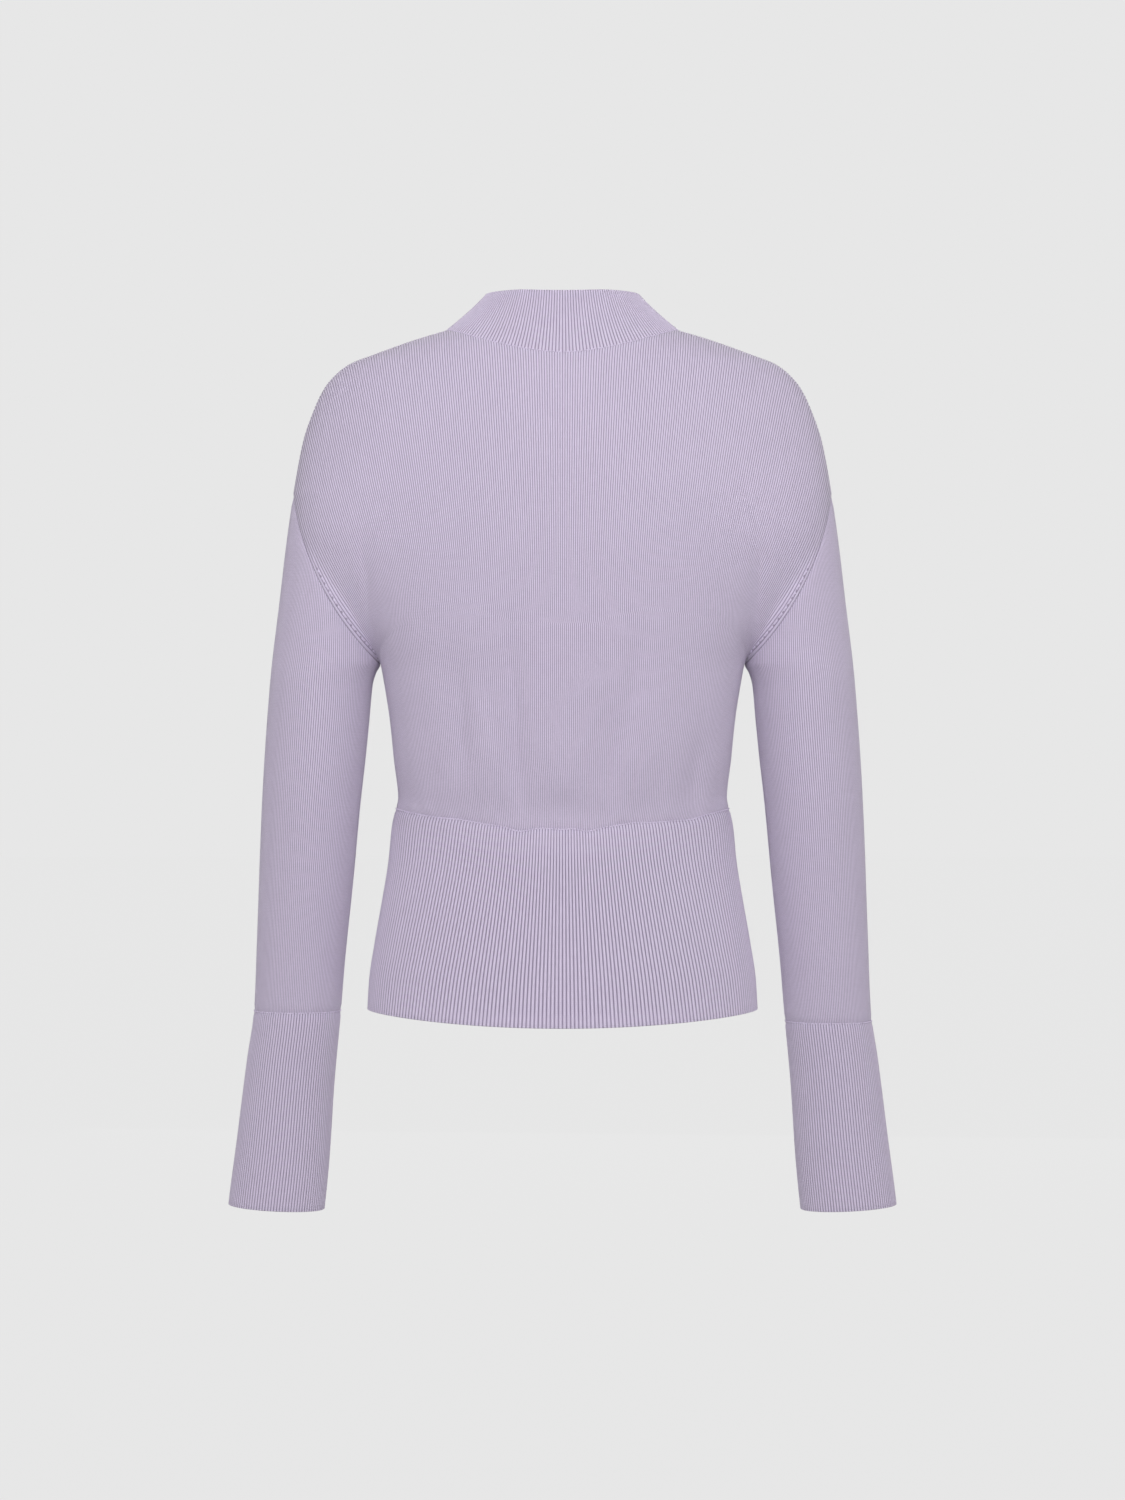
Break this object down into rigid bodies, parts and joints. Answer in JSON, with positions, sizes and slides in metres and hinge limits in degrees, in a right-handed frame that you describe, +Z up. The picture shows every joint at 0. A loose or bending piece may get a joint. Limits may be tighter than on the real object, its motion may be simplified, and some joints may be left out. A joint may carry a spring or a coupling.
{
  "type": "knit top",
  "caption": "Fine rib-knit top in worn, hollow form, with a funnel collar, dropped shoulders, long sleeves with deep flared cuffs and a deep flared waistband.",
  "frame": {"origin": "midway between the two neck points, where the collar meets the shoulder ridges, in the plane of the side seams", "axes": "+Z up, towards the collar's open edge; +Y towards the back, so the front faces -Y; +X towards the wearer's left"},
  "size_m": [0.5752, 0.2257, 0.783],
  "materials": {
    "lilac_knit": "soft matt fine 1x1 rib knit",
    "lilac_rib": "soft matt knit with deeper vertical ribs"
  },
  "bodies": {
    "root": {"back_panel": "lilac_knit", "front_panel": "lilac_knit", "sleeve_left": "lilac_knit", "sleeve_right": "lilac_knit", "cuff_left": "lilac_rib", "cuff_right": "lilac_rib", "waistband_back": "lilac_rib", "waistband_front": "lilac_rib", "collar": "lilac_rib"}
  },
  "joints": []
}
